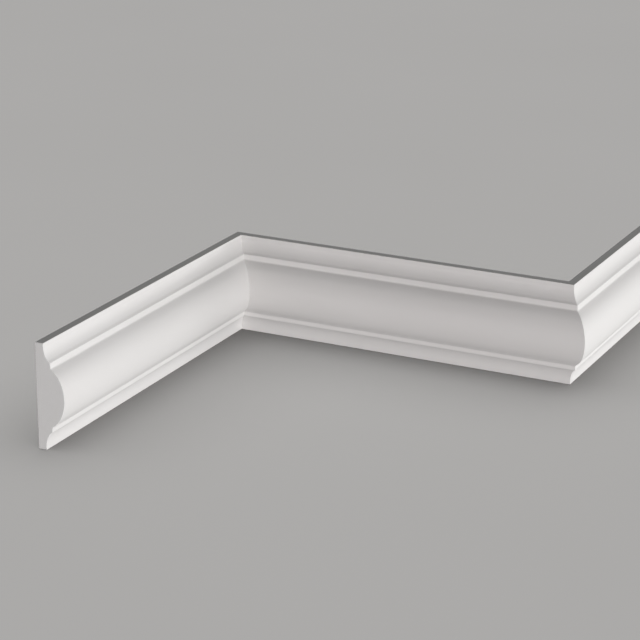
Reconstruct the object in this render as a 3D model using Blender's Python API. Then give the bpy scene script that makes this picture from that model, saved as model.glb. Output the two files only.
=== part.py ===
"""Wall moulding: one profile in three lengths, mitred where the wall turns.

In plan the wall makes a Z. The left and the right length face +X and the middle one faces -Y.
The left length meets the middle one in an inner corner, the right length in an outer corner.
The origin is the centre of the middle length's flat back. Units are metres, with +Z up.
"""

import math

import bmesh
import bpy
from mathutils import Vector

MM = 0.001

# Lengths, measured along the wall between its corners and the square-cut ends
LEFT_RUN = 298.0 * MM
MIDDLE_RUN = 284.0 * MM
RIGHT_RUN = 170.0 * MM
MITRE_GAP = 0.3 * MM

# Heights of the profile's members, which stack up to 80 mm
BAND_HEIGHT = 3.1 * MM
CAVETTO_HEIGHT = 10.5 * MM
UPPER_FILLET_HEIGHT = 4.8 * MM
BELLY_HEIGHT = 44.1 * MM
LOWER_FILLET_HEIGHT = 3.9 * MM

# Heights of the slanted returns that lead from the fillets to the belly, within its height
UPPER_RETURN_HEIGHT = 2.2 * MM
LOWER_RETURN_HEIGHT = 5.2 * MM

# How far the members stand out, each one counted from the one before; together 22.8 mm
EDGE_THICKNESS = 6.7 * MM
CAVETTO_DEPTH = 4.5 * MM
FILLET_STEP = 0.8 * MM
BELLY_STEP = 1.4 * MM
BELLY_RISE = 9.4 * MM

# Radius of the tighter arcs that round the belly into its returns, as a share of its own radius
BELLY_END_SHARE = 0.6

# Straight pieces that each arc of the outline is made of
CAVETTO_PIECES = 12
BELLY_END_PIECES = 8
BELLY_PIECES = 24

# Extra stock that a mitre cut takes off, and the largest turn that still shades as round
STOCK_ALLOWANCE = 12.0 * MM
ROUND_SHADING_ANGLE = math.radians(20.0)

# Directions that a length's face can look in, as turns about Z
FACING_PLUS_X = 0.0
FACING_MINUS_Y = math.radians(-90.0)
MITRE_ANGLE = math.radians(45.0)

PAINT_COLOUR = (0.82, 0.815, 0.80, 1.0)
PAINT_ROUGHNESS = 0.45

# Levels and projections that follow from the sizes above
EDGE_MEMBER_HEIGHT = BAND_HEIGHT + CAVETTO_HEIGHT
HEIGHT = 2 * EDGE_MEMBER_HEIGHT + UPPER_FILLET_HEIGHT + BELLY_HEIGHT + LOWER_FILLET_HEIGHT
TOP = HEIGHT / 2
BOTTOM = -HEIGHT / 2
BELLY_TOP = TOP - EDGE_MEMBER_HEIGHT - UPPER_FILLET_HEIGHT
BELLY_BOTTOM = BOTTOM + EDGE_MEMBER_HEIGHT + LOWER_FILLET_HEIGHT
FILLET_OUT = EDGE_THICKNESS + CAVETTO_DEPTH + FILLET_STEP
BELLY_OUT = FILLET_OUT + BELLY_STEP + BELLY_RISE
INNER_CORNER = Vector((-MIDDLE_RUN / 2, 0.0, 0.0))
OUTER_CORNER = Vector((MIDDLE_RUN / 2, 0.0, 0.0))


def clear_scene():
    """Remove every object, so that the script can be run again in an open file."""
    for scene_object in list(bpy.data.objects):
        bpy.data.objects.remove(scene_object, do_unlink=True)


def add_collection(name):
    """Add an empty collection to the scene, in place of an older one of the same name."""
    old = bpy.data.collections.get(name)
    if old is not None:
        bpy.data.collections.remove(old)
    collection = bpy.data.collections.new(name)
    bpy.context.scene.collection.children.link(collection)
    return collection


def arc_radius(half_chord, rise):
    """Radius of the circle whose arc rises by rise over twice half_chord."""
    return (half_chord ** 2 + rise ** 2) / (2 * rise)


def arc(centre, radius, first, last, pieces):
    """Points of an arc from the angle first to the angle last, as (out, up) vectors."""
    points = []
    for step in range(pieces + 1):
        angle = first + (last - first) * step / pieces
        points.append(centre + radius * Vector((math.cos(angle), math.sin(angle))))
    return points


def cavetto(band_up, towards):
    """Hollow arc from a band's inner edge to its lip, as (out, up) points.

    The arc leaves the band's face without a corner. towards is -1 for a cavetto that
    goes down from its band and 1 for one that goes up.
    """
    radius = arc_radius(CAVETTO_HEIGHT, CAVETTO_DEPTH)
    sweep = 2 * math.atan2(CAVETTO_DEPTH, CAVETTO_HEIGHT)
    centre = Vector((EDGE_THICKNESS + radius, band_up))
    return arc(centre, radius, math.pi, math.pi - towards * sweep, CAVETTO_PIECES)


def belly_end(centre, radius, side, return_height):
    """Tighter arc that rounds the belly into one of its slanted returns.

    The return is the straight line from its fillet's edge to the point of the belly's circle
    that lies return_height nearer the middle. The arc touches that line and the circle.
    centre and radius are the circle's, and side is 1 for the upper return and -1 for the lower.
    Gives the arc's points from the return to the belly, and the angle at which the belly starts.
    """
    edge = Vector((FILLET_OUT, centre.y + side * BELLY_HEIGHT / 2))
    tip_angle = side * math.asin((BELLY_HEIGHT / 2 - return_height) / radius)
    tip = centre + radius * Vector((math.cos(tip_angle), math.sin(tip_angle)))
    slant = (tip - edge).normalized()
    outward = Vector((-slant.y, slant.x)) * side
    end_radius = BELLY_END_SHARE * radius
    offset = edge - outward * end_radius - centre
    along = offset.dot(slant)
    reach = math.sqrt(along ** 2 - offset.length_squared + (radius - end_radius) ** 2) - along
    offset += slant * reach
    first = math.atan2(outward.y, outward.x)
    last = math.atan2(offset.y, offset.x)
    return arc(centre + offset, end_radius, first, last, BELLY_END_PIECES), last


def belly():
    """Round belly with its two ends, from the top down, as (out, up) points."""
    radius = arc_radius(BELLY_HEIGHT / 2, BELLY_RISE)
    centre = Vector((BELLY_OUT - radius, (BELLY_TOP + BELLY_BOTTOM) / 2))
    upper_end, first = belly_end(centre, radius, 1, UPPER_RETURN_HEIGHT)
    lower_end, last = belly_end(centre, radius, -1, LOWER_RETURN_HEIGHT)
    middle = arc(centre, radius, first, last, BELLY_PIECES)
    return upper_end + middle[1:-1] + list(reversed(lower_end))


def profile():
    """Closed outline of the moulding's section, from the top of its back round its front."""
    upper_cavetto = cavetto(TOP - BAND_HEIGHT, -1)
    lower_cavetto = cavetto(BOTTOM + BAND_HEIGHT, 1)
    points = [(0.0, TOP), (EDGE_THICKNESS, TOP)]
    points += upper_cavetto
    points += [(FILLET_OUT, TOP - EDGE_MEMBER_HEIGHT), (FILLET_OUT, BELLY_TOP)]
    points += belly()
    points += [(FILLET_OUT, BELLY_BOTTOM), (FILLET_OUT, BOTTOM + EDGE_MEMBER_HEIGHT)]
    points += reversed(lower_cavetto)
    points += [(EDGE_THICKNESS, BOTTOM), (0.0, BOTTOM)]
    return points


def paint(name):
    """White satin wall paint."""
    material = bpy.data.materials.new(name)
    material.use_nodes = True
    shader = material.node_tree.nodes["Principled BSDF"]
    shader.inputs["Base Color"].default_value = PAINT_COLOUR
    shader.inputs["Roughness"].default_value = PAINT_ROUGHNESS
    shader.inputs["Metallic"].default_value = 0.0
    return material


def profile_curve(name, start, end, facing):
    """Flat outline of the profile, extruded along the wall from start to end."""
    curve = bpy.data.curves.new(name, "CURVE")
    curve.dimensions = "2D"
    curve.fill_mode = "BOTH"
    curve.extrude = (end - start).length / 2
    points = profile()
    spline = curve.splines.new("POLY")
    spline.points.add(len(points) - 1)
    for spline_point, (out, up) in zip(spline.points, points):
        spline_point.co = (out, up, 0.0, 1.0)
    spline.use_cyclic_u = True
    outline = bpy.data.objects.new(name, curve)
    outline.location = (start + end) / 2
    outline.rotation_euler = (math.radians(90.0), 0.0, facing)
    return outline


def add_length(collection, name, start, end, facing):
    """One straight length of the moulding as a closed mesh, its back on the line start to end."""
    outline = profile_curve(name + "_outline", start, end, facing)
    collection.objects.link(outline)
    bpy.context.view_layer.update()
    graph = bpy.context.evaluated_depsgraph_get()
    mesh = bpy.data.meshes.new_from_object(outline.evaluated_get(graph))
    mesh.name = name
    shell = bmesh.new()
    shell.from_mesh(mesh)
    bmesh.ops.remove_doubles(shell, verts=shell.verts, dist=0.01 * MM)
    bmesh.ops.recalc_face_normals(shell, faces=shell.faces)
    shell.to_mesh(mesh)
    shell.free()
    mesh.shade_smooth()
    mesh.set_sharp_from_angle(angle=ROUND_SHADING_ANGLE)
    mesh.materials.clear()
    mesh.materials.append(paint(name + "_paint"))
    length = bpy.data.objects.new(name, mesh)
    length.matrix_world = outline.matrix_world
    collection.objects.link(length)
    bpy.data.objects.remove(outline, do_unlink=True)
    return length


def cut_mitre(cutters, length, corner, waste_side):
    """Cut a length at 45 degrees through a wall corner, half the mitre gap back from it.

    Both mitres run out of the wall towards +X and -Y. waste_side is 1 where the stock to
    take off lies on the +X, +Y side of the cut and -1 where it lies on the other side.
    """
    side = 2 * (HEIGHT + BELLY_OUT + STOCK_ALLOWANCE)
    across = Vector((math.cos(MITRE_ANGLE), math.sin(MITRE_ANGLE), 0.0))
    centre = corner + across * waste_side * (side / 2 - MITRE_GAP / 2)
    bpy.ops.mesh.primitive_cube_add(size=side, location=centre, rotation=(0.0, 0.0, MITRE_ANGLE))
    cutter = bpy.context.active_object
    cutter.name = length.name + ("_far_cut" if waste_side > 0 else "_near_cut")
    for collection in list(cutter.users_collection):
        collection.objects.unlink(cutter)
    cutters.objects.link(cutter)
    cutter.hide_render = True
    cutter.display_type = "WIRE"
    cut = length.modifiers.new("mitre", "BOOLEAN")
    cut.operation = "DIFFERENCE"
    cut.solver = "EXACT"
    cut.object = cutter


def main():
    """Build the three lengths and mitre them to each other."""
    clear_scene()
    moulding = add_collection("wall_moulding")
    cutters = add_collection("mitre_cutters")
    stock = BELLY_OUT + STOCK_ALLOWANCE
    along_x = Vector((1.0, 0.0, 0.0))
    along_y = Vector((0.0, 1.0, 0.0))

    left_end = INNER_CORNER - along_y * LEFT_RUN
    left = add_length(moulding, "moulding_left", left_end, INNER_CORNER, FACING_PLUS_X)
    cut_mitre(cutters, left, INNER_CORNER, 1)

    middle_end = OUTER_CORNER + along_x * stock
    middle = add_length(moulding, "moulding_middle", INNER_CORNER, middle_end, FACING_MINUS_Y)
    cut_mitre(cutters, middle, INNER_CORNER, -1)
    cut_mitre(cutters, middle, OUTER_CORNER, 1)

    right_start = OUTER_CORNER - along_y * stock
    right_end = OUTER_CORNER + along_y * RIGHT_RUN
    right = add_length(moulding, "moulding_right", right_start, right_end, FACING_PLUS_X)
    cut_mitre(cutters, right, OUTER_CORNER, -1)


main()
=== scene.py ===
"""Looks of a wall moulding: one profile in three mitred lengths, in satin white paint.

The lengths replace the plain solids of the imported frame. Geometry Nodes sweep the profile along
each length, with its arrises eased as paint leaves them, and the finishes are procedural.
Units are metres, +Z is up, and the middle length's back lies on y = 0 with its face to -Y.
"""

import logging
import math
from collections.abc import Mapping, Sequence
from dataclasses import dataclass
from enum import Enum

import bpy
from mathutils import Matrix, Vector


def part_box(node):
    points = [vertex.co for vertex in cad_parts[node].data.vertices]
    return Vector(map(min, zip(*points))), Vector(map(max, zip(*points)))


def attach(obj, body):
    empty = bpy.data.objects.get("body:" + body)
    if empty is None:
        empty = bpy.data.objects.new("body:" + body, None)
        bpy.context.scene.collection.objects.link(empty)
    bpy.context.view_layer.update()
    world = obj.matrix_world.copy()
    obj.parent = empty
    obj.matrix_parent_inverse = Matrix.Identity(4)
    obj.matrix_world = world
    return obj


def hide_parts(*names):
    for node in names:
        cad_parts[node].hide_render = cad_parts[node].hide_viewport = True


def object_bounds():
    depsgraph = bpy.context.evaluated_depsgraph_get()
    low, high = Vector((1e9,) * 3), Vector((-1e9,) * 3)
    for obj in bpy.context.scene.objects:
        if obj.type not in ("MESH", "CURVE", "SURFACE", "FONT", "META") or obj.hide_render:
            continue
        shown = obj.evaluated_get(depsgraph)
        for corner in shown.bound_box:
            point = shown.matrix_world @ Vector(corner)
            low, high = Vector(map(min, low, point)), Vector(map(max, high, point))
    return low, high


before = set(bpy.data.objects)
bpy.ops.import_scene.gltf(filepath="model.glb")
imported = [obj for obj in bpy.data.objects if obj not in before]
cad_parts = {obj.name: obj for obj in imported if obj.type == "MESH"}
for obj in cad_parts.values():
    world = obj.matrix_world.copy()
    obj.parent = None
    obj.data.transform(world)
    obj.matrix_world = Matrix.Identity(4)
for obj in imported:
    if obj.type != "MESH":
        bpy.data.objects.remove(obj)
CAD_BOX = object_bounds()

MM = 0.001
PHOTO_PIXELS = 640
SENSOR_WIDTH = 36.0
PLACE_ATTRIBUTE = "place"

# Patterns run from 0 to 1 about this value, and bands at this scale are one unit apart
PATTERN_MIDDLE = 0.5
BAND_SCALE = 0.314

log = logging.getLogger("wall_moulding")

Colour = tuple[float, float, float, float]
Tint = tuple[float, float, float]
WHITE: Tint = (1.0, 1.0, 1.0)
FAINTLY_WARM: Tint = (1.0, 0.977, 0.98)
WARM: Tint = (1.0, 0.948, 0.955)


class Facing(Enum):
    """Direction that a length's moulded face looks in, as its turn about Z in radians."""

    PLUS_X = 0.0
    MINUS_Y = -math.pi / 2


class Cut(Enum):
    """How a length ends: how far each point slides along the length for its projection."""

    SQUARE = 0.0
    FORWARD = 1.0
    BACKWARD = -1.0


class Wire:
    """A number socket of a node tree, on which Python's operators add Math nodes."""

    def __init__(self, bench: "Bench", socket: bpy.types.NodeSocket) -> None:
        """Wrap a socket.

        Args:
            bench: The bench of the tree that the socket is in.
            socket: The output socket.
        """
        self.bench = bench
        self.socket = socket

    def _math(self, operation: str, first: "Wire | float", second: "Wire | float") -> "Wire":
        """Join two values with one Math node."""
        node = self.bench.add("ShaderNodeMath", {"operation": operation}, {0: first, 1: second})
        return self.bench.wire(node, 0)

    def __add__(self, other: "Wire | float") -> "Wire":
        """Return self + other."""
        return self._math("ADD", self, other)

    def __radd__(self, other: float) -> "Wire":
        """Return other + self."""
        return self._math("ADD", other, self)

    def __sub__(self, other: "Wire | float") -> "Wire":
        """Return self - other."""
        return self._math("SUBTRACT", self, other)

    def __rsub__(self, other: float) -> "Wire":
        """Return other - self."""
        return self._math("SUBTRACT", other, self)

    def __mul__(self, other: "Wire | float") -> "Wire":
        """Return self * other."""
        return self._math("MULTIPLY", self, other)

    def __rmul__(self, other: float) -> "Wire":
        """Return other * self."""
        return self._math("MULTIPLY", other, self)

    def __truediv__(self, other: "Wire | float") -> "Wire":
        """Return self / other."""
        return self._math("DIVIDE", self, other)

    def __abs__(self) -> "Wire":
        """Return the size of self without its sign."""
        return self._math("ABSOLUTE", self, 0.0)

    def __gt__(self, other: "Wire | float") -> "Wire":
        """Return 1 where self is above other, and 0 elsewhere."""
        return self._math("GREATER_THAN", self, other)

    def __lt__(self, other: "Wire | float") -> "Wire":
        """Return 1 where self is below other, and 0 elsewhere."""
        return self._math("LESS_THAN", self, other)


class Bench:
    """Adds nodes to one shader or geometry tree."""

    def __init__(self, tree: bpy.types.NodeTree) -> None:
        """Work on a tree.

        Args:
            tree: The tree that the nodes are added to.
        """
        self.tree = tree

    def add(
        self,
        kind: str,
        settings: Mapping[str, object] | None = None,
        values: Mapping[int | str, object] | None = None,
    ) -> bpy.types.Node:
        """Add a node.

        Args:
            kind: The node's type.
            settings: Its properties, set before its sockets.
            values: A value, a wire or a socket for each input, by its index, identifier or name.

        Returns:
            The new node.
        """
        node = self.tree.nodes.new(kind)
        for name, value in (settings or {}).items():
            setattr(node, name, value)
        for key, value in (values or {}).items():
            socket = self.find(node.inputs, key)
            if isinstance(value, Wire):
                self.tree.links.new(value.socket, socket)
            elif isinstance(value, bpy.types.NodeSocket):
                self.tree.links.new(value, socket)
            else:
                socket.default_value = value
        return node

    def wire(self, node: bpy.types.Node, key: int | str) -> Wire:
        """Wrap one of a node's outputs, found by its index, identifier or name."""
        return Wire(self, self.find(node.outputs, key))

    @staticmethod
    def find(sockets: Sequence[bpy.types.NodeSocket], key: int | str) -> bpy.types.NodeSocket:
        """Return the socket with this index, identifier or name."""
        if isinstance(key, int):
            return sockets[key]
        for socket in sockets:
            if socket.identifier == key:
                return socket
        return next(socket for socket in sockets if socket.name == key)


class ShaderBench(Bench):
    """Adds the nodes that this object's finishes share."""

    def place(self) -> bpy.types.NodeSocket:
        """Return the surface's place on its length: along it, out of the wall and up."""
        attribute = self.add("ShaderNodeAttribute", {"attribute_name": PLACE_ATTRIBUTE})
        return attribute.outputs["Vector"]

    def stretched(
        self, vector: bpy.types.NodeSocket, scale: Sequence[float]
    ) -> bpy.types.NodeSocket:
        """Return a vector scaled on each axis.

        Args:
            vector: The vector to scale.
            scale: One factor for each axis.

        Returns:
            The scaled vector's socket.
        """
        mapping = self.add("ShaderNodeMapping", None, {"Vector": vector, "Scale": tuple(scale)})
        return mapping.outputs["Vector"]

    def noise(self, vector: bpy.types.NodeSocket, grain: float, detail: float = 2.0) -> Wire:
        """Add a noise pattern.

        Args:
            vector: Where the pattern is read, in metres.
            grain: The width of one patch of it, in metres.
            detail: How many finer octaves it has.

        Returns:
            A value around 0.5.
        """
        values = {"Vector": vector, "Scale": 1.0 / grain, "Detail": detail, "Roughness": 0.5}
        return self.wire(self.add("ShaderNodeTexNoise", {"noise_dimensions": "3D"}, values), "Fac")

    @staticmethod
    def swing(pattern: Wire, strength: float) -> Wire:
        """Return a pattern that runs about 0 instead of a half, times strength."""
        return (pattern - PATTERN_MIDDLE) * strength

    def blend(self, factor: Wire, first: Colour, second: Colour) -> bpy.types.NodeSocket:
        """Return a colour that goes from first to second as factor goes from 0 to 1."""
        settings = {"data_type": "RGBA", "blend_type": "MIX", "clamp_factor": True}
        values = {"Factor_Float": factor, "A_Color": first, "B_Color": second}
        return self.find(self.add("ShaderNodeMix", settings, values).outputs, "Result_Color")

    def bump(self, height: Wire, depth: float) -> bpy.types.NodeSocket:
        """Return a normal that height, from 0 to 1, raises by up to depth in metres."""
        values = {"Height": height, "Distance": depth, "Strength": 1.0}
        return self.add("ShaderNodeBump", None, values).outputs["Normal"]

    def feed(
        self,
        shader: bpy.types.Node,
        colour: bpy.types.NodeSocket,
        roughness: Wire,
        normal: bpy.types.NodeSocket,
    ) -> None:
        """Link what varies over the surface to its shader.

        Args:
            shader: The material's shader node.
            colour: The surface's base colour.
            roughness: The surface's roughness.
            normal: The surface's bumped normal.
        """
        self.tree.links.new(colour, shader.inputs["Base Color"])
        self.tree.links.new(roughness.socket, shader.inputs["Roughness"])
        self.tree.links.new(normal, shader.inputs["Normal"])


def new_material(name: str) -> tuple[bpy.types.Material, ShaderBench, bpy.types.Node]:
    """Make an empty material with a Principled shader.

    Args:
        name: The material's name.

    Returns:
        The material, a bench on its tree and its shader node.
    """
    material = bpy.data.materials.new(name)
    material.use_nodes = True
    material.node_tree.nodes.clear()
    bench = ShaderBench(material.node_tree)
    shader = bench.add("ShaderNodeBsdfPrincipled")
    bench.add("ShaderNodeOutputMaterial", None, {"Surface": shader.outputs["BSDF"]})
    return material, bench, shader


@dataclass(frozen=True)
class SatinPaint:
    """White paint sprayed on the moulded face."""

    name: str = "satin_white_paint"
    light: Colour = (0.823, 0.816, 0.803, 1.0)
    dark: Colour = (0.803, 0.794, 0.779, 1.0)
    cloud_width: float = 45 * MM
    cloud_stretch: float = 0.35
    cloud_contrast: float = 2.4
    roughness: float = 0.48
    cloud_roughness: float = 0.12
    peel_roughness: float = 0.08
    peel_width: float = 1.3 * MM
    peel_depth: float = 0.012 * MM
    speck_width: float = 0.35 * MM
    speck_share: float = 0.35

    def material(self) -> bpy.types.Material:
        """Return the paint with its soft clouding and its orange peel."""
        material, bench, shader = new_material(self.name)
        place = bench.place()
        along = bench.stretched(place, (self.cloud_stretch, 1.0, 1.0))
        clouds = bench.noise(along, self.cloud_width, detail=3.0)
        peel = bench.noise(place, self.peel_width, detail=1.0)
        specks = bench.noise(place, self.speck_width, detail=0.0)
        height = peel * (1 - self.speck_share) + specks * self.speck_share
        tone = bench.swing(clouds, self.cloud_contrast) + PATTERN_MIDDLE
        uneven = bench.swing(clouds, self.cloud_roughness) + bench.swing(peel, self.peel_roughness)
        colour = bench.blend(tone, self.dark, self.light)
        bench.feed(shader, colour, self.roughness + uneven, bench.bump(height, self.peel_depth))
        return material


@dataclass(frozen=True)
class SawnFoam:
    """Hard white foam as a fine saw leaves it, on the square-cut ends and in the mitres."""

    name: str = "sawn_foam"
    light: Colour = (0.865, 0.872, 0.86, 1.0)
    dark: Colour = (0.808, 0.814, 0.80, 1.0)
    roughness: float = 0.82
    pore_width: float = 0.45 * MM
    pore_depth: float = 0.05 * MM
    # Painted shade: how much darker the pores are coloured where their bump dips
    painted_pore_shade: float = 0.7
    patch_width: float = 6 * MM
    patch_tone: float = 0.5
    patch_roughness: float = 0.1
    tooth_spacing: float = 1.1 * MM
    tooth_wander: float = 3.0
    tooth_share: float = 0.25

    def material(self) -> bpy.types.Material:
        """Return the foam with its pores, painted shade in their dips, and faint saw marks."""
        material, bench, shader = new_material(self.name)
        place = bench.place()
        cells = bench.add(
            "ShaderNodeTexVoronoi",
            {"feature": "F1", "voronoi_dimensions": "3D"},
            {"Vector": place, "Scale": 1.0 / self.pore_width, "Randomness": 1.0},
        )
        pores = bench.wire(cells, "Distance")
        settings = {"wave_type": "BANDS", "bands_direction": "Y", "wave_profile": "SIN"}
        values = {
            "Vector": place,
            "Scale": BAND_SCALE / self.tooth_spacing,
            "Distortion": self.tooth_wander,
            "Detail": 1.0,
        }
        teeth = bench.wire(bench.add("ShaderNodeTexWave", settings, values), "Fac")
        patches = bench.noise(place, self.patch_width, detail=2.0)
        height = (1 - pores) * (1 - self.tooth_share) + teeth * self.tooth_share
        # Painted shade darkens the pores where their bump dips; the patches are random tone
        tone = (1 - pores) * self.painted_pore_shade + patches * self.patch_tone
        rough = self.roughness + bench.swing(patches, self.patch_roughness)
        colour = bench.blend(tone, self.dark, self.light)
        bench.feed(shader, colour, rough, bench.bump(height, self.pore_depth))
        return material


@dataclass(frozen=True)
class MouldedBack:
    """The plain back that lies against the wall: the foam's own skin, unpainted and matt."""

    name: str = "moulded_back"
    light: Colour = (0.78, 0.77, 0.755, 1.0)
    dark: Colour = (0.70, 0.69, 0.67, 1.0)
    roughness: float = 0.75
    flow_width: float = 22 * MM
    flow_stretch: float = 0.22
    flow_contrast: float = 2.0
    flow_roughness: float = 0.15
    flow_share: float = 0.6
    skin_width: float = 2.2 * MM
    skin_depth: float = 0.04 * MM

    def material(self) -> bpy.types.Material:
        """Return the skin with its flow marks along the length."""
        material, bench, shader = new_material(self.name)
        place = bench.place()
        along = bench.stretched(place, (self.flow_stretch, 1.0, 1.0))
        flow = bench.noise(along, self.flow_width, detail=4.0)
        skin = bench.noise(place, self.skin_width, detail=2.0)
        tone = bench.swing(flow, self.flow_contrast) + PATTERN_MIDDLE
        height = flow * self.flow_share + skin * (1 - self.flow_share)
        rough = self.roughness + bench.swing(flow, self.flow_roughness)
        colour = bench.blend(tone, self.dark, self.light)
        bench.feed(shader, colour, rough, bench.bump(height, self.skin_depth))
        return material


@dataclass(frozen=True)
class StudioFloor:
    """Matt floor, as pale as the overhead light makes it."""

    name: str = "pale_floor"
    light: Colour = (0.204, 0.201, 0.197, 1.0)
    dark: Colour = (0.196, 0.193, 0.189, 1.0)
    roughness: float = 1.0
    cloud_width: float = 0.35

    def material(self) -> bpy.types.Material:
        """Return the floor's material."""
        material, bench, shader = new_material(self.name)
        coordinates = bench.add("ShaderNodeTexCoord").outputs["Object"]
        clouds = bench.noise(coordinates, self.cloud_width, detail=2.0)
        colour = bench.blend(clouds, self.dark, self.light)
        bench.tree.links.new(colour, shader.inputs["Base Color"])
        shader.inputs["Roughness"].default_value = self.roughness
        shader.inputs["Specular IOR Level"].default_value = 0.0
        return material


@dataclass(frozen=True)
class Section:
    """The moulding's profile, from its named sizes. The belly takes up what the box leaves."""

    height: float
    depth: float
    band_height: float = 3.1 * MM
    cavetto_height: float = 10.5 * MM
    upper_fillet_height: float = 4.8 * MM
    lower_fillet_height: float = 3.9 * MM
    upper_return_height: float = 2.2 * MM
    lower_return_height: float = 5.2 * MM
    edge_thickness: float = 6.7 * MM
    cavetto_depth: float = 4.5 * MM
    fillet_step: float = 0.8 * MM
    belly_step: float = 1.4 * MM
    belly_end_share: float = 0.6
    edge_radius: float = 0.3 * MM
    paint_reach: float = 0.75 * MM
    trace_step: float = 0.2 * MM
    turn_step: float = math.radians(4.0)
    longest_piece: float = 3.0 * MM
    cavetto_pieces: int = 20
    belly_end_pieces: int = 14
    belly_pieces: int = 44
    edge_pieces: int = 5

    @property
    def fillet_out(self) -> float:
        """How far the fillets stand out from the wall."""
        return self.edge_thickness + self.cavetto_depth + self.fillet_step

    @property
    def edge_member_height(self) -> float:
        """Height of a band and its cavetto together."""
        return self.band_height + self.cavetto_height

    @property
    def belly_top(self) -> float:
        """Level of the upper fillet's lower edge."""
        return self.height / 2 - self.edge_member_height - self.upper_fillet_height

    @property
    def belly_bottom(self) -> float:
        """Level of the lower fillet's upper edge."""
        return self.edge_member_height + self.lower_fillet_height - self.height / 2

    @property
    def belly_half(self) -> float:
        """Half of the belly's height, with its returns."""
        return (self.belly_top - self.belly_bottom) / 2

    @staticmethod
    def arc_radius(half_chord: float, rise: float) -> float:
        """Return the radius of an arc that rises by rise over twice half_chord."""
        return (half_chord**2 + rise**2) / (2 * rise)

    @staticmethod
    def arc(centre: Vector, radius: float, first: float, last: float, pieces: int) -> list[Vector]:
        """Trace an arc.

        Args:
            centre: Its centre.
            radius: Its radius.
            first: The angle at which it starts.
            last: The angle at which it ends.
            pieces: How many straight pieces it has.

        Returns:
            Its points.
        """
        points = []
        for step in range(pieces + 1):
            angle = first + (last - first) * step / pieces
            points.append(centre + radius * Vector((math.cos(angle), math.sin(angle))))
        return points

    def cavetto(self, band_up: float, towards: int) -> list[Vector]:
        """Trace the hollow between a band and its fillet.

        Args:
            band_up: Level of the band's inner edge.
            towards: 1 for a cavetto that goes up from its band and -1 for one that goes down.

        Returns:
            The outline from the band to the fillet's face, with the lip's small step.
        """
        radius = self.arc_radius(self.cavetto_height, self.cavetto_depth)
        sweep = 2 * math.atan2(self.cavetto_depth, self.cavetto_height)
        centre = Vector((self.edge_thickness + radius, band_up))
        hollow = self.arc(centre, radius, math.pi, math.pi - towards * sweep, self.cavetto_pieces)
        return hollow + [Vector((self.fillet_out, band_up + towards * self.cavetto_height))]

    def belly_end(self, centre: Vector, radius: float, side: int, rise: float) -> list[Vector]:
        """Trace the tighter arc that rounds the belly into one of its slanted returns.

        Args:
            centre: The centre of the belly's circle.
            radius: The radius of the belly's circle.
            side: 1 for the upper return and -1 for the lower one.
            rise: The return's height.

        Returns:
            The arc from the return to the belly.
        """
        edge = Vector((self.fillet_out, centre.y + side * self.belly_half))
        tip_angle = side * math.asin((self.belly_half - rise) / radius)
        tip = centre + radius * Vector((math.cos(tip_angle), math.sin(tip_angle)))
        slant = (tip - edge).normalized()
        outward = Vector((-slant.y, slant.x)) * side
        end_radius = self.belly_end_share * radius
        offset = edge - outward * end_radius - centre
        along = offset.dot(slant)
        reach = math.sqrt(along**2 - offset.length_squared + (radius - end_radius) ** 2) - along
        offset += slant * reach
        first = math.atan2(outward.y, outward.x)
        last = math.atan2(offset.y, offset.x)
        return self.arc(centre + offset, end_radius, first, last, self.belly_end_pieces)

    def belly(self) -> list[Vector]:
        """Trace the belly from the lower slanted return to the upper one."""
        rise = self.depth - self.fillet_out - self.belly_step
        radius = self.arc_radius(self.belly_half, rise)
        centre = Vector((self.depth - radius, (self.belly_top + self.belly_bottom) / 2))
        lower = self.belly_end(centre, radius, -1, self.lower_return_height)
        upper = self.belly_end(centre, radius, 1, self.upper_return_height)
        first, last = (
            math.atan2(end[-1].y - centre.y, end[-1].x - centre.x) for end in (lower, upper)
        )
        middle = self.arc(centre, radius, first, last, self.belly_pieces)
        return lower + middle[1:-1] + list(reversed(upper))

    def moulded_face(self) -> list[Vector]:
        """Trace the moulded face, as it was milled, from the lower band up to the upper one."""
        top = self.height / 2
        points = [Vector((self.edge_thickness, self.edge_radius - top))]
        points += self.cavetto(self.band_height - top, 1)
        points += [Vector((self.fillet_out, self.belly_bottom))]
        points += self.belly()
        points += [Vector((self.fillet_out, self.belly_top))]
        points += reversed(self.cavetto(top - self.band_height, -1))
        points += [Vector((self.edge_thickness, top - self.edge_radius))]
        return points

    def spaced(self, points: Sequence[Vector]) -> list[Vector]:
        """Return points at equal steps along an outline."""
        places = [points[0]]
        ahead = self.trace_step
        for start, end in zip(points, points[1:]):
            piece = (end - start).length
            while ahead < piece:
                places.append(start.lerp(end, ahead / piece))
                ahead += self.trace_step
            ahead -= piece
        return places + [points[-1]]

    def painted(self, points: Sequence[Vector]) -> list[Vector]:
        """Soften an outline as coats of paint do: creases fill up and arrises round off.

        Args:
            points: The outline, at equal steps.

        Returns:
            As many points, each the mean of those around it, the nearer ones counting for more.
        """
        reach = math.ceil(3 * self.paint_reach / self.trace_step)
        steps = range(-reach, reach + 1)
        shares = [(step * self.trace_step / self.paint_reach) ** 2 for step in steps]
        weights = [math.exp(-share / 2) for share in shares]
        softened = list(points[:reach])
        for index in range(reach, len(points) - reach):
            near = points[index - reach : index + reach + 1]
            weighted = (place * weight for place, weight in zip(near, weights))
            softened.append(sum(weighted, Vector((0.0, 0.0))) / sum(weights))
        return softened + list(points[-reach:])

    def thinned(self, points: Sequence[Vector]) -> list[Vector]:
        """Keep a point of an outline only where it has turned, or where a piece gets long."""
        kept = [points[0]]
        heading = points[1] - points[0]
        for point, after in zip(points[1:], points[2:]):
            turned = heading.angle(after - point) > self.turn_step
            if turned or (point - kept[-1]).length > self.longest_piece:
                kept.append(point)
                heading = after - point
        return kept + [points[-1]]

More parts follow.
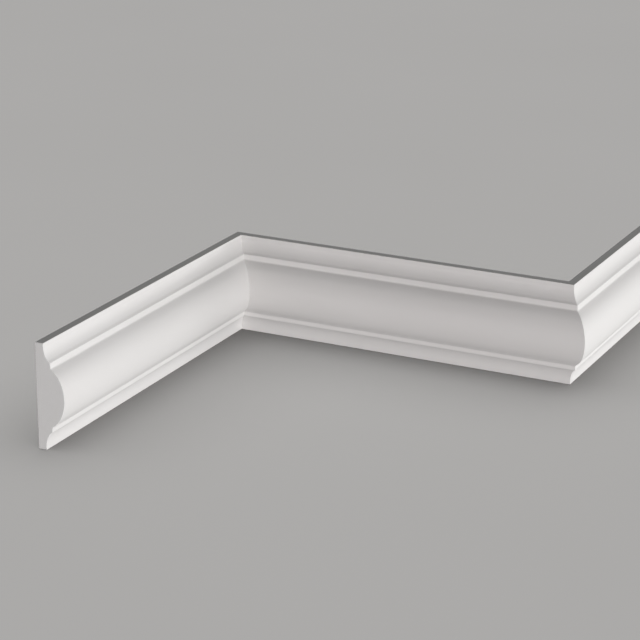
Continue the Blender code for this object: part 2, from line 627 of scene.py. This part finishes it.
    def outline(self) -> list[Vector]:
        """Return the closed outline, counter-clockwise from the foot of the back."""
        radius = self.edge_radius
        inner, outer = radius, self.edge_thickness - radius
        foot, head = radius - self.height / 2, self.height / 2 - radius
        right_angle = math.pi / 2
        edges = [
            self.arc(Vector(centre), radius, first, first + right_angle, self.edge_pieces)
            for centre, first in (
                ((inner, foot), 2 * right_angle),
                ((outer, foot), 3 * right_angle),
                ((outer, head), 0.0),
                ((inner, head), right_angle),
            )
        ]
        face = self.thinned(self.painted(self.spaced(self.moulded_face())))
        return edges[0] + edges[1] + face[1:-1] + edges[2] + edges[3]

    def curve(self) -> bpy.types.Object:
        """Return the outline as a closed curve that stays out of the scene."""
        curve = bpy.data.curves.new("moulding_section", "CURVE")
        curve.dimensions = "3D"
        points = self.outline()
        spline = curve.splines.new("POLY")
        spline.points.add(len(points) - 1)
        for spline_point, place in zip(spline.points, points):
            spline_point.co = (place.x, place.y, 0.0, 1.0)
        spline.use_cyclic_u = True
        return bpy.data.objects.new("moulding_section", curve)


class SweepTree:
    """Geometry Nodes that sweep the section along a length and cut its two ends.

    A face that looks into the wall by more than BACK_LIMIT is the back, and one that looks along
    the length by more than CUT_LIMIT is a cut end, which a mitre does by 0.707.
    """

    SPARE_RINGS = 4.0
    SAME_INDEX = 0.5
    BACK_LIMIT = 0.99
    CUT_LIMIT = 0.705

    def __init__(self) -> None:
        """Build the tree."""
        self.tree = bpy.data.node_groups.new("moulding_sweep", "GeometryNodeTree")
        self.bench = Bench(self.tree)
        self.identifiers: dict[str, str] = {}
        for name, kind in (
            ("Section", "NodeSocketObject"),
            ("Length", "NodeSocketFloat"),
            ("Start cut", "NodeSocketFloat"),
            ("End cut", "NodeSocketFloat"),
            ("End easing", "NodeSocketFloat"),
            ("Ring spacing", "NodeSocketFloat"),
            ("Sharp angle", "NodeSocketFloat"),
            ("Start point", "NodeSocketVector"),
            ("Turn", "NodeSocketRotation"),
            ("Face finish", "NodeSocketMaterial"),
            ("End finish", "NodeSocketMaterial"),
            ("Back finish", "NodeSocketMaterial"),
        ):
            socket = self.tree.interface.new_socket(name=name, in_out="INPUT", socket_type=kind)
            self.identifiers[name] = socket.identifier
        self.tree.interface.new_socket(
            name="Mesh", in_out="OUTPUT", socket_type="NodeSocketGeometry"
        )
        self.inputs = self.tree.nodes.new("NodeGroupInput").outputs
        self._build()

    def _input(self, name: str) -> bpy.types.NodeSocket:
        """Return the tree's input of this name."""
        return self.inputs[name]

    def _number(self, name: str) -> Wire:
        """Return the tree's number input of this name, for Python's operators."""
        return Wire(self.bench, self.inputs[name])

    def _path(self) -> bpy.types.NodeSocket:
        """Lay the straight path, with a ring close to each end for the eased edge."""
        bench = self.bench
        length = self._number("Length")
        tip = bench.add("ShaderNodeCombineXYZ", None, {"Z": length}).outputs[0]
        line = bench.add("GeometryNodeCurvePrimitiveLine", {"mode": "POINTS"}, {"End": tip})
        count = length / self._number("Ring spacing") + self.SPARE_RINGS
        values = {"Curve": line.outputs[0], "Count": count}
        path = bench.add("GeometryNodeResampleCurve", {"mode": "COUNT"}, values).outputs[0]
        index = bench.wire(bench.add("GeometryNodeInputIndex"), 0)
        settings = {"component": "CURVE"}
        total = bench.add("GeometryNodeAttributeDomainSize", settings, {"Geometry": path})
        last_but_one = bench.wire(total, "Point Count") - 2.0
        easing = self._number("End easing")
        for ring, level in ((1.0, easing), (last_but_one, length - easing)):
            chosen = abs(index - ring) < self.SAME_INDEX
            place = bench.add("ShaderNodeCombineXYZ", None, {"Z": level}).outputs[0]
            values = {"Geometry": path, "Selection": chosen, "Position": place}
            path = bench.add("GeometryNodeSetPosition", None, values).outputs[0]
        return path

    def _profile(self) -> tuple[bpy.types.NodeSocket, bpy.types.NodeSocket]:
        """Fetch the section and note the direction of its outline at each point."""
        values = {"Object": self._input("Section")}
        section = self.bench.add("GeometryNodeObjectInfo", None, values)
        tangent = self.bench.add("GeometryNodeInputTangent").outputs[0]
        capture = self.bench.tree.nodes.new("GeometryNodeCaptureAttribute")
        capture.domain = "POINT"
        capture.capture_items.new("VECTOR", "Tangent")
        self.tree.links.new(section.outputs["Geometry"], capture.inputs["Geometry"])
        self.tree.links.new(tangent, capture.inputs["Tangent"])
        return capture.outputs["Geometry"], capture.outputs["Tangent"]

    def _cut_ends(
        self, mesh: bpy.types.NodeSocket, tangent: bpy.types.NodeSocket
    ) -> bpy.types.NodeSocket:
        """Slide the rings to the mitres and draw in the edge of a square-cut end.

        Args:
            mesh: The straight sweep, along Z.
            tangent: The outline's direction at each point.

        Returns:
            The cut mesh.
        """
        bench = self.bench
        position = bench.add("GeometryNodeInputPosition").outputs[0]
        parts = bench.add("ShaderNodeSeparateXYZ", None, {"Vector": position})
        out, along = bench.wire(parts, "X"), bench.wire(parts, "Z")
        length, easing = self._number("Length"), self._number("End easing")
        start_cut, end_cut = self._number("Start cut"), self._number("End cut")
        share = along / length
        slide = out * (start_cut * (1 - share) + end_cut * share)
        half_easing = easing * 0.5
        at_start = (along < half_easing) * (1 - abs(start_cut))
        at_end = (along > length - half_easing) * (1 - abs(end_cut))
        draw_in = (at_start + at_end) * easing
        heading = bench.add("ShaderNodeSeparateXYZ", None, {"Vector": tangent})
        inward_out = bench.wire(heading, "Y") * -1.0 * draw_in
        inward_up = bench.wire(heading, "X") * draw_in
        values = {"X": inward_out, "Y": inward_up, "Z": slide}
        offset = bench.add("ShaderNodeCombineXYZ", None, values).outputs[0]
        values = {"Geometry": mesh, "Offset": offset}
        return bench.add("GeometryNodeSetPosition", None, values).outputs[0]

    def _note_place(self, mesh: bpy.types.NodeSocket) -> bpy.types.NodeSocket:
        """Store each point's place along, out and up, which the finishes read."""
        bench = self.bench
        position = bench.add("GeometryNodeInputPosition").outputs[0]
        parts = bench.add("ShaderNodeSeparateXYZ", None, {"Vector": position})
        values = {"X": parts.outputs["Z"], "Y": parts.outputs["X"], "Z": parts.outputs["Y"]}
        place = bench.add("ShaderNodeCombineXYZ", None, values).outputs[0]
        settings = {"data_type": "FLOAT_VECTOR", "domain": "POINT"}
        values = {"Geometry": mesh, "Name": PLACE_ATTRIBUTE, "Value": place}
        return bench.add("GeometryNodeStoreNamedAttribute", settings, values).outputs[0]

    def _outlook(self, out: float, along: float) -> Wire:
        """Measure how squarely each face looks in a direction.

        Args:
            out: 1 to count looks out of the wall, -1 to count looks into it, 0 for neither.
            along: 1 to count looks along the length, either way, and 0 to leave them out.

        Returns:
            1 where a face looks squarely that way.
        """
        normal = self.bench.add("GeometryNodeInputNormal").outputs[0]
        parts = self.bench.add("ShaderNodeSeparateXYZ", None, {"Vector": normal})
        return self.bench.wire(parts, "X") * out + abs(self.bench.wire(parts, "Z")) * along

    def _build(self) -> None:
        """Join the tree's stages."""
        bench = self.bench
        profile, tangent = self._profile()
        values = {"Curve": self._path(), "Profile Curve": profile, "Fill Caps": True}
        sweep = bench.add("GeometryNodeCurveToMesh", None, values).outputs[0]
        mesh = self._note_place(self._cut_ends(sweep, tangent))
        edge_angle = bench.wire(bench.add("GeometryNodeInputMeshEdgeAngle"), "Unsigned Angle")
        sharp = edge_angle > self._number("Sharp angle")
        values = {"Geometry": mesh, "Selection": sharp, "Shade Smooth": False}
        mesh = bench.add("GeometryNodeSetShadeSmooth", {"domain": "EDGE"}, values).outputs[0]
        back = self._outlook(out=-1.0, along=0.0) > self.BACK_LIMIT
        cut = self._outlook(out=0.0, along=1.0) > self.CUT_LIMIT
        settings = {"data_type": "BOOLEAN", "domain": "FACE"}
        for name, selection in (("is_back", back), ("is_cut", cut)):
            values = {"Geometry": mesh, "Name": name, "Value": selection}
            mesh = bench.add("GeometryNodeStoreNamedAttribute", settings, values).outputs[0]
        start_point, turn = self._input("Start point"), self._input("Turn")
        values = {"Geometry": mesh, "Translation": start_point, "Rotation": turn}
        mesh = bench.add("GeometryNodeTransform", None, values).outputs[0]
        mesh = bench.add("GeometryNodeRealizeInstances", None, {"Geometry": mesh}).outputs[0]
        values = {"Geometry": mesh, "Material": self._input("Face finish")}
        mesh = bench.add("GeometryNodeSetMaterial", None, values).outputs[0]
        settings = {"data_type": "BOOLEAN"}
        for name, finish in (("is_back", "Back finish"), ("is_cut", "End finish")):
            chosen = bench.add("GeometryNodeInputNamedAttribute", settings, {"Name": name})
            values = {
                "Geometry": mesh,
                "Selection": chosen.outputs[0],
                "Material": self._input(finish),
            }
            mesh = bench.add("GeometryNodeSetMaterial", None, values).outputs[0]
        self.tree.links.new(mesh, self.tree.nodes.new("NodeGroupOutput").inputs[0])


@dataclass(frozen=True)
class Finishes:
    """The made materials of a length."""

    face: bpy.types.Material
    end: bpy.types.Material
    back: bpy.types.Material


@dataclass(frozen=True)
class Length:
    """One straight length of the moulding, in place of its CAD node."""

    node: str
    facing: Facing
    start_point: Vector
    length: float
    start_cut: Cut
    end_cut: Cut
    end_easing: float = 0.25 * MM
    ring_spacing: float = 8.0 * MM
    sharp_angle: float = math.radians(35.0)

    def build(
        self, section: bpy.types.Object, sweep: SweepTree, finishes: Finishes
    ) -> bpy.types.Object:
        """Sweep the section along this length.

        Args:
            section: The profile's curve.
            sweep: The tree that makes a length.
            finishes: The materials of its face, ends and back.

        Returns:
            The length as a plain mesh at the origin.
        """
        carrier = bpy.data.objects.new(self.node + "_carrier", bpy.data.meshes.new("carrier"))
        bpy.context.scene.collection.objects.link(carrier)
        modifier = carrier.modifiers.new("sweep", "NODES")
        modifier.node_group = sweep.tree
        for name, value in {
            "Section": section,
            "Length": self.length,
            "Start cut": self.start_cut.value,
            "End cut": self.end_cut.value,
            "End easing": self.end_easing,
            "Ring spacing": self.ring_spacing,
            "Sharp angle": self.sharp_angle,
            "Start point": self.start_point,
            "Turn": (math.pi / 2, 0.0, self.facing.value),
            "Face finish": finishes.face,
            "End finish": finishes.end,
            "Back finish": finishes.back,
        }.items():
            modifier[sweep.identifiers[name]] = value
        flat = carrier.modifiers.new("flat_faces", "WEIGHTED_NORMAL")
        flat.mode = "FACE_AREA"
        flat.keep_sharp = True
        graph = bpy.context.evaluated_depsgraph_get()
        mesh = bpy.data.meshes.new_from_object(carrier.evaluated_get(graph))
        mesh.name = self.node + "_face"
        bpy.data.objects.remove(carrier, do_unlink=True)
        piece = bpy.data.objects.new(self.node + "_face", mesh)
        bpy.context.scene.collection.objects.link(piece)
        return piece

    def dress(self, piece: bpy.types.Object) -> None:
        """Put the piece in the place of its CAD node."""
        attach(piece, "root")
        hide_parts(self.node)
        triangles = sum(len(face.vertices) - 2 for face in piece.data.polygons)
        log.info("%s: %d triangles in place of %s", piece.name, triangles, self.node)


@dataclass(frozen=True)
class Moulding:
    """The three lengths, placed by the boxes of their CAD nodes."""

    joint: float = 0.02 * MM

    def lengths(self) -> list[Length]:
        """Work out each length from the frame's boxes."""
        left_low, left_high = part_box("moulding_left")
        right_low, right_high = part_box("moulding_right")
        left_run = -left_low.y
        right_run = right_high.y
        middle_run = right_low.x - left_low.x
        inner_corner = Vector((left_low.x, 0.0, 0.0))
        outer_corner = Vector((right_low.x, 0.0, 0.0))
        back_off = Vector((0.0, self.joint, 0.0))
        return [
            Length(
                node="moulding_left",
                facing=Facing.PLUS_X,
                start_point=inner_corner - back_off,
                length=left_run - self.joint,
                start_cut=Cut.FORWARD,
                end_cut=Cut.SQUARE,
            ),
            Length(
                node="moulding_middle",
                facing=Facing.MINUS_Y,
                start_point=outer_corner,
                length=middle_run,
                start_cut=Cut.BACKWARD,
                end_cut=Cut.BACKWARD,
            ),
            Length(
                node="moulding_right",
                facing=Facing.PLUS_X,
                start_point=outer_corner + Vector((0.0, right_run, 0.0)),
                length=right_run - self.joint,
                start_cut=Cut.SQUARE,
                end_cut=Cut.FORWARD,
            ),
        ]

    def section(self) -> Section:
        """Return the profile at the height and depth of the frame's box."""
        low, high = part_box("moulding_left")
        return Section(height=high.z - low.z, depth=high.x - low.x)

    def build(self) -> list[bpy.types.Object]:
        """Make and dress the lengths."""
        finishes = Finishes(
            face=SatinPaint().material(),
            end=SawnFoam().material(),
            back=MouldedBack().material(),
        )
        section = self.section().curve()
        sweep = SweepTree()
        pieces = []
        for length in self.lengths():
            piece = length.build(section, sweep, finishes)
            length.dress(piece)
            pieces.append(piece)
        bpy.data.objects.remove(section, do_unlink=True)
        return pieces


@dataclass(frozen=True)
class SoftBox:
    """A long soft lamp somewhere round the moulding, which the camera doesn't see.

    Without gloss it leaves no highlight on what it lights.
    """

    name: str
    bearing: float
    distance: float
    lift: float
    width: float
    height: float
    watts: float
    tint: Tint = WHITE
    gloss: bool = True

    def build(self, lit: bpy.types.Collection) -> bpy.types.Object:
        """Stand the lamp at its bearing from +X, turned to the moulding.

        Args:
            lit: What the lamp shines on, which is also all that stands in its light.

        Returns:
            The lamp.
        """
        data = bpy.data.lights.new(self.name, "AREA")
        data.shape = "RECTANGLE"
        data.size = self.width
        data.size_y = self.height
        data.energy = self.watts
        data.color = self.tint
        lamp = bpy.data.objects.new(self.name, data)
        across = self.distance * math.cos(self.bearing)
        along = self.distance * math.sin(self.bearing)
        lamp.location = (across, along, self.lift)
        lamp.rotation_euler = (-lamp.location).to_track_quat("-Z", "Y").to_euler()
        lamp.visible_camera = False
        lamp.visible_glossy = self.gloss
        lamp.light_linking.receiver_collection = lit
        lamp.light_linking.blocker_collection = lit
        bpy.context.scene.collection.objects.link(lamp)
        return lamp


@dataclass(frozen=True)
class Viewpoint:
    """The photo's viewpoint: where the camera stands, how it is turned and its focal length."""

    place: tuple[float, float, float] = (0.6986, -1.5531, 0.5741)
    heading: float = math.radians(26.258)
    pitch: float = math.radians(19.049)
    roll: float = math.radians(0.239)
    focal_pixels: float = 2281.9

    def build(self) -> bpy.types.Object:
        """Set the camera up. Heading turns from +Y to -X, pitch looks down."""
        data = bpy.data.cameras.new("photo_view")
        data.sensor_width = SENSOR_WIDTH
        data.sensor_fit = "HORIZONTAL"
        data.lens = self.focal_pixels / PHOTO_PIXELS * SENSOR_WIDTH
        camera = bpy.data.objects.new("photo_view", data)
        forward = Vector(
            (
                -math.sin(self.heading) * math.cos(self.pitch),
                math.cos(self.heading) * math.cos(self.pitch),
                -math.sin(self.pitch),
            )
        )
        level = Vector((math.cos(self.heading), math.sin(self.heading), 0.0))
        upright = level.cross(forward)
        right = math.cos(self.roll) * level + math.sin(self.roll) * upright
        up = math.cos(self.roll) * upright - math.sin(self.roll) * level
        turn = Matrix((right, up, -forward)).transposed().to_4x4()
        camera.matrix_world = Matrix.Translation(self.place) @ turn
        bpy.context.scene.collection.objects.link(camera)
        bpy.context.scene.camera = camera
        return camera


@dataclass(frozen=True)
class LampStrip:
    """Low lamps side by side in an arc before the moulding, from -Y round to beyond +X.

    They stand about level with it, so that its slopes and its top stay darker than its fillets.
    The ones that face the middle length are weaker and a little warmer.
    """

    start: float = math.radians(-90.0)
    step: float = math.radians(30.0)
    distance: float = 3.2
    lift: float = 0.10
    width: float = 2.2
    height: float = 0.28
    watts: tuple[float, ...] = (10.2, 18.2, 34.4, 34.8, 20.8)
    tints: tuple[Tint, ...] = (WARM, WARM, FAINTLY_WARM, WHITE, WHITE)

    def build(self, lit: bpy.types.Collection) -> None:
        """Stand the lamps in their arc, to shine on the collection lit."""
        for index, (watts, tint) in enumerate(zip(self.watts, self.tints)):
            bearing = self.start + index * self.step
            lamp = SoftBox(
                name=f"strip_{index}",
                bearing=bearing,
                distance=self.distance,
                lift=self.lift,
                width=self.width,
                height=self.height,
                watts=watts,
                tint=tint,
            )
            lamp.build(lit)


@dataclass(frozen=True)
class Overhead:
    """A wide even light from straight above, for the floor and the soft shadow on it."""

    spread: float = math.radians(120.0)
    strength: float = 6.1

    def build(self, lit: bpy.types.Collection) -> bpy.types.Object:
        """Hang the light over the collection lit."""
        data = bpy.data.lights.new("overhead", "SUN")
        data.angle = self.spread
        data.energy = self.strength
        lamp = bpy.data.objects.new("overhead", data)
        lamp.light_linking.receiver_collection = lit
        bpy.context.scene.collection.objects.link(lamp)
        return lamp


@dataclass(frozen=True)
class Studio:
    """The plain pale floor and the soft light, of which floor and moulding have each their own.

    The moulding belongs high on a wall, so the floor throws no soft light back on it, and the
    lamps that light the moulding leave the floor even.
    """

    floor_half: float = 60.0
    floor_gap: float = 0.1 * MM
    ambient: float = 0.10
    ambient_colour: Colour = (1.0, 1.0, 1.0, 1.0)
    backdrop: Colour = (0.394, 0.389, 0.380, 1.0)
    strip: LampStrip = LampStrip()
    front_below: SoftBox = SoftBox(
        name="front_below",
        bearing=math.radians(-90.0),
        distance=2.9,
        lift=-1.35,
        width=2.2,
        height=1.0,
        watts=7.0,
        tint=WARM,
    )
    side_below: SoftBox = SoftBox(
        name="side_below",
        bearing=math.radians(30.0),
        distance=2.06,
        lift=-2.45,
        width=2.2,
        height=1.0,
        watts=12.5,
    )
    side_above: SoftBox = SoftBox(
        name="side_above",
        bearing=math.radians(60.0),
        distance=2.06,
        lift=2.45,
        width=2.2,
        height=1.0,
        watts=6.0,
        gloss=False,
    )
    rear: SoftBox = SoftBox(
        name="rear",
        bearing=math.radians(140.0),
        distance=3.6,
        lift=0.30,
        width=2.4,
        height=0.6,
        watts=110.0,
        gloss=False,
    )
    overhead: Overhead = Overhead()

    def build(self, pieces: Sequence[bpy.types.Object]) -> None:
        """Lay the floor, stand the lamps and set the ambient light.

        Args:
            pieces: The moulding's pieces.
        """
        floor = self._lay_floor()
        moulding = self._lit("lit_moulding", pieces)
        self.strip.build(moulding)
        for lamp in (self.front_below, self.side_below, self.side_above, self.rear):
            lamp.build(moulding)
        self.overhead.build(self._lit("lit_floor", [floor]))
        self._set_world()
        settings = bpy.context.scene.view_settings
        settings.view_transform = "Standard"
        settings.look = "None"

    @staticmethod
    def _lit(name: str, members: Sequence[bpy.types.Object]) -> bpy.types.Collection:
        """Gather what a lamp shines on."""
        collection = bpy.data.collections.new(name)
        for member in members:
            collection.objects.link(member)
        return collection

    def _lay_floor(self) -> bpy.types.Object:
        """Lay the floor just under the moulding."""
        low = CAD_BOX[0].z - self.floor_gap
        half = self.floor_half
        mesh = bpy.data.meshes.new("studio_floor")
        square = [(-half, -half, low), (half, -half, low), (half, half, low), (-half, half, low)]
        mesh.from_pydata(square, [], [(0, 1, 2, 3)])
        mesh.materials.append(StudioFloor().material())
        floor = bpy.data.objects.new("studio_floor", mesh)
        bpy.context.scene.collection.objects.link(floor)
        floor.visible_diffuse = False
        return floor

    def _set_world(self) -> None:
        """Light the room evenly and show the camera a plain pale backdrop."""
        world = bpy.data.worlds.new("studio")
        world.use_nodes = True
        world.node_tree.nodes.clear()
        bench = Bench(world.node_tree)
        values = {"Color": self.ambient_colour, "Strength": self.ambient}
        light = bench.add("ShaderNodeBackground", None, values)
        shown = bench.add("ShaderNodeBackground", None, {"Color": self.backdrop, "Strength": 1.0})
        ray = bench.add("ShaderNodeLightPath").outputs["Is Camera Ray"]
        values = {"Fac": ray, 1: light.outputs[0], 2: shown.outputs[0]}
        mix = bench.add("ShaderNodeMixShader", None, values)
        bench.add("ShaderNodeOutputWorld", None, {"Surface": mix.outputs[0]})
        bpy.context.scene.world = world


def main() -> None:
    """Build the moulding and the studio round it."""
    logging.basicConfig(level=logging.INFO, format="%(name)s: %(message)s")
    Viewpoint().build()
    pieces = Moulding().build()
    Studio().build(pieces)
    log.info("%d pieces built", len(pieces))


if __name__ == "__main__":
    main()
